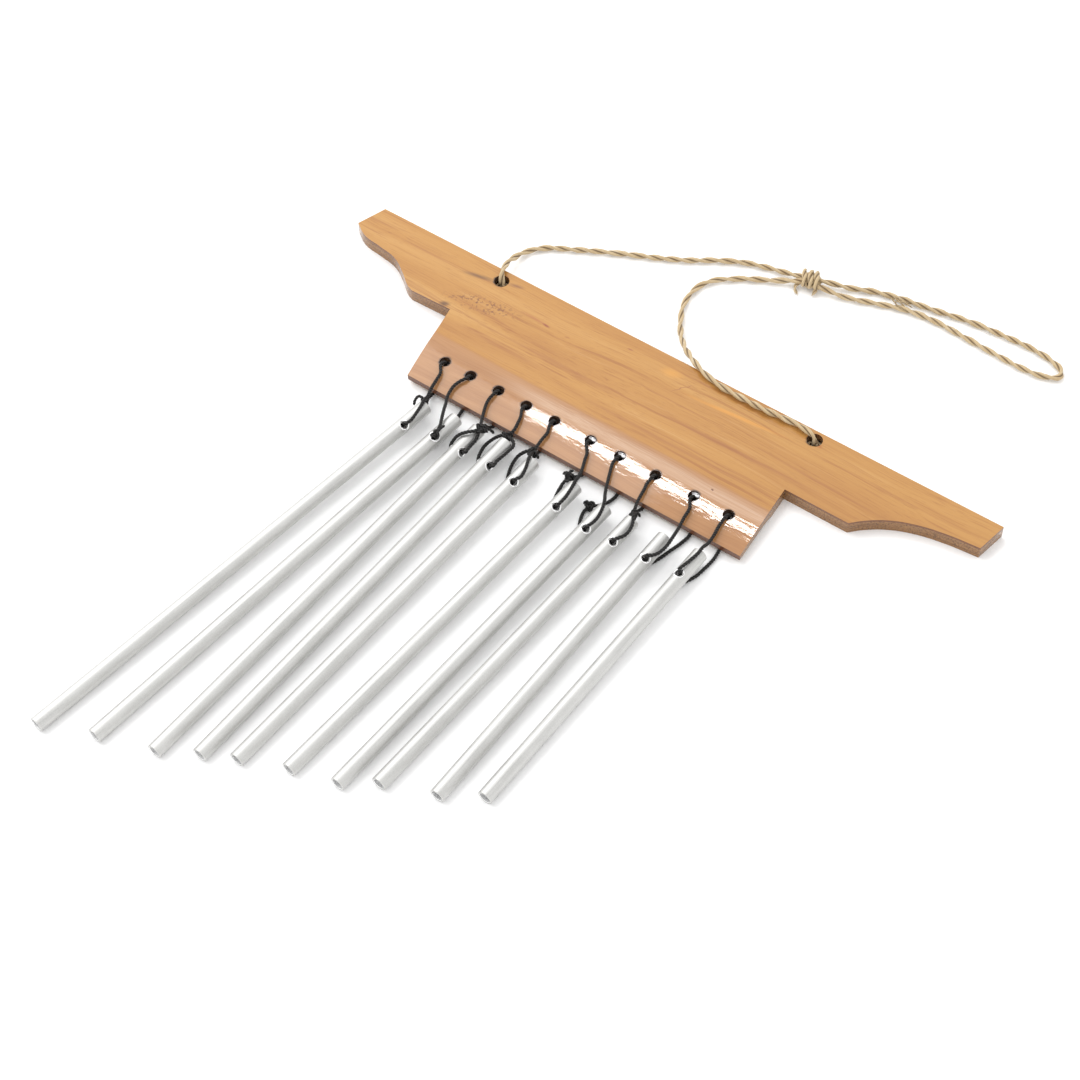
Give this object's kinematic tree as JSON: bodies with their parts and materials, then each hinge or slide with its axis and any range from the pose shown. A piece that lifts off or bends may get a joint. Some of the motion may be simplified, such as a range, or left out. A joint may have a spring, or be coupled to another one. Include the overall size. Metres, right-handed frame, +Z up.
{
  "type": "wind chime",
  "caption": "Notched bamboo board with a row of metal tubes of graded length on black cord loops, and a knotted twine hanger, lying flat.",
  "frame": {"origin": "middle of the board and tubes, on the surface that the chime lies on", "axes": "+X along the board from the longest tube to the shortest, +Y from the tubes towards the twine hanger, +Z up from the surface"},
  "size_m": [0.3154, 0.38, 0.0123],
  "materials": {
    "bamboo": "varnished, glossy",
    "aluminium": "satin",
    "black_cord": "waxed twisted cord",
    "twine": "natural two-ply fibre"
  },
  "bodies": {
    "board": {"bamboo_board": "bamboo", "twine_stopper_left": "twine", "twine_stopper_right": "twine"},
    "hanger": {"twine_left": "twine", "twine_loop": "twine", "twine_right": "twine", "twine_knot": "twine"},
    "loop_01": {"cord_01": "black_cord", "cord_loop_01": "black_cord", "cord_knot_01": "black_cord"},
    "chime_01": {"tube_01": "aluminium"},
    "loop_02": {"cord_02": "black_cord", "cord_knot_02": "black_cord"},
    "chime_02": {"tube_02": "aluminium"},
    "loop_03": {"cord_03": "black_cord", "cord_loop_03": "black_cord", "cord_knot_03": "black_cord"},
    "chime_03": {"tube_03": "aluminium"},
    "loop_04": {"cord_04": "black_cord", "cord_loop_04": "black_cord", "cord_knot_04": "black_cord"},
    "chime_04": {"tube_04": "aluminium"},
    "loop_05": {"cord_05": "black_cord", "cord_loop_05": "black_cord", "cord_knot_05": "black_cord"},
    "chime_05": {"tube_05": "aluminium"},
    "loop_06": {"cord_06": "black_cord", "cord_knot_06": "black_cord"},
    "chime_06": {"tube_06": "aluminium"},
    "loop_07": {"cord_07": "black_cord", "cord_knot_07": "black_cord"},
    "chime_07": {"tube_07": "aluminium"},
    "loop_08": {"cord_08": "black_cord", "cord_loop_08": "black_cord", "cord_knot_08": "black_cord"},
    "chime_08": {"tube_08": "aluminium"},
    "loop_09": {"cord_09": "black_cord", "cord_knot_09": "black_cord"},
    "chime_09": {"tube_09": "aluminium"},
    "loop_10": {"cord_10": "black_cord", "cord_knot_10": "black_cord"},
    "chime_10": {"tube_10": "aluminium"}
  },
  "joints": [
    {"name": "hanger_swing", "type": "hinge", "parent": "board", "child": "hanger", "pos_m": [0, 0.138, 0.008], "axis": [1, 0, 0], "range_deg": [0, 120], "deforming": ["twine_left", "twine_loop", "twine_right"]},
    {"name": "swing_01", "type": "hinge", "parent": "board", "child": "loop_01", "pos_m": [-0.0721, 0.072, 0.0038], "axis": [-1, 0, 0], "range_deg": [-30, 30], "deforming": ["cord_01", "cord_loop_01"]},
    {"name": "sway_01", "type": "hinge", "parent": "loop_01", "child": "chime_01", "pos_m": [-0.0721, 0.04935, 0.0054], "axis": [0, 0, 1], "range_deg": [-15, 4], "deforming": ["cord_01", "cord_loop_01"]},
    {"name": "swing_02", "type": "hinge", "parent": "board", "child": "loop_02", "pos_m": [-0.0572, 0.072, 0.0038], "axis": [-1, 0, 0], "range_deg": [-30, 30], "deforming": ["cord_02"]},
    {"name": "sway_02", "type": "hinge", "parent": "loop_02", "child": "chime_02", "pos_m": [-0.0572, 0.0511, 0.0054], "axis": [0, 0, 1], "range_deg": [-3, 4], "deforming": ["cord_02"]},
    {"name": "swing_03", "type": "hinge", "parent": "board", "child": "loop_03", "pos_m": [-0.0454, 0.072, 0.0038], "axis": [-1, 0, 0], "range_deg": [-30, 30], "deforming": ["cord_03", "cord_loop_03"]},
    {"name": "sway_03", "type": "hinge", "parent": "loop_03", "child": "chime_03", "pos_m": [-0.0454, 0.0518, 0.0054], "axis": [0, 0, 1], "range_deg": [-4, 2], "deforming": ["cord_03", "cord_loop_03"]},
    {"name": "swing_04", "type": "hinge", "parent": "board", "child": "loop_04", "pos_m": [-0.0318, 0.072, 0.0038], "axis": [-1, 0, 0], "range_deg": [-30, 30], "deforming": ["cord_04", "cord_loop_04"]},
    {"name": "sway_04", "type": "hinge", "parent": "loop_04", "child": "chime_04", "pos_m": [-0.0318, 0.0524, 0.0054], "axis": [0, 0, 1], "range_deg": [-2, 1], "deforming": ["cord_04", "cord_loop_04"]},
    {"name": "swing_05", "type": "hinge", "parent": "board", "child": "loop_05", "pos_m": [-0.017, 0.072, 0.0038], "axis": [-1, 0, 0], "range_deg": [-30, 30], "deforming": ["cord_05", "cord_loop_05"]},
    {"name": "sway_05", "type": "hinge", "parent": "loop_05", "child": "chime_05", "pos_m": [-0.017, 0.0506, 0.0054], "axis": [0, 0, 1], "range_deg": [-1, 4], "deforming": ["cord_05", "cord_loop_05"]},
    {"name": "swing_06", "type": "hinge", "parent": "board", "child": "loop_06", "pos_m": [0.0042, 0.072, 0.0038], "axis": [-1, 0, 0], "range_deg": [-30, 30], "deforming": ["cord_06"]},
    {"name": "sway_06", "type": "hinge", "parent": "loop_06", "child": "chime_06", "pos_m": [0.0042, 0.0502, 0.0054], "axis": [0, 0, 1], "range_deg": [-4, 4], "deforming": ["cord_06"]},
    {"name": "swing_07", "type": "hinge", "parent": "board", "child": "loop_07", "pos_m": [0.0205, 0.072, 0.0038], "axis": [-1, 0, 0], "range_deg": [-30, 30], "deforming": ["cord_07"]},
    {"name": "sway_07", "type": "hinge", "parent": "loop_07", "child": "chime_07", "pos_m": [0.0205, 0.0479, 0.0054], "axis": [0, 0, 1], "range_deg": [-4, 2], "deforming": ["cord_07"]},
    {"name": "swing_08", "type": "hinge", "parent": "board", "child": "loop_08", "pos_m": [0.0328, 0.072, 0.0038], "axis": [-1, 0, 0], "range_deg": [-30, 30], "deforming": ["cord_08", "cord_loop_08"]},
    {"name": "sway_08", "type": "hinge", "parent": "loop_08", "child": "chime_08", "pos_m": [0.0328, 0.0487, 0.0054], "axis": [0, 0, 1], "range_deg": [-2, 5], "deforming": ["cord_08", "cord_loop_08"]},
    {"name": "swing_09", "type": "hinge", "parent": "board", "child": "loop_09", "pos_m": [0.0484, 0.072, 0.0038], "axis": [-1, 0, 0], "range_deg": [-30, 30], "deforming": ["cord_09"]},
    {"name": "sway_09", "type": "hinge", "parent": "loop_09", "child": "chime_09", "pos_m": [0.0484, 0.0492, 0.0054], "axis": [0, 0, 1], "range_deg": [-5, 3], "deforming": ["cord_09"]},
    {"name": "swing_10", "type": "hinge", "parent": "board", "child": "loop_10", "pos_m": [0.0644, 0.072, 0.0038], "axis": [-1, 0, 0], "range_deg": [-30, 30], "deforming": ["cord_10"]},
    {"name": "sway_10", "type": "hinge", "parent": "loop_10", "child": "chime_10", "pos_m": [0.0644, 0.0506, 0.0054], "axis": [0, 0, 1], "range_deg": [-3, 15], "deforming": ["cord_10"]}
  ]
}
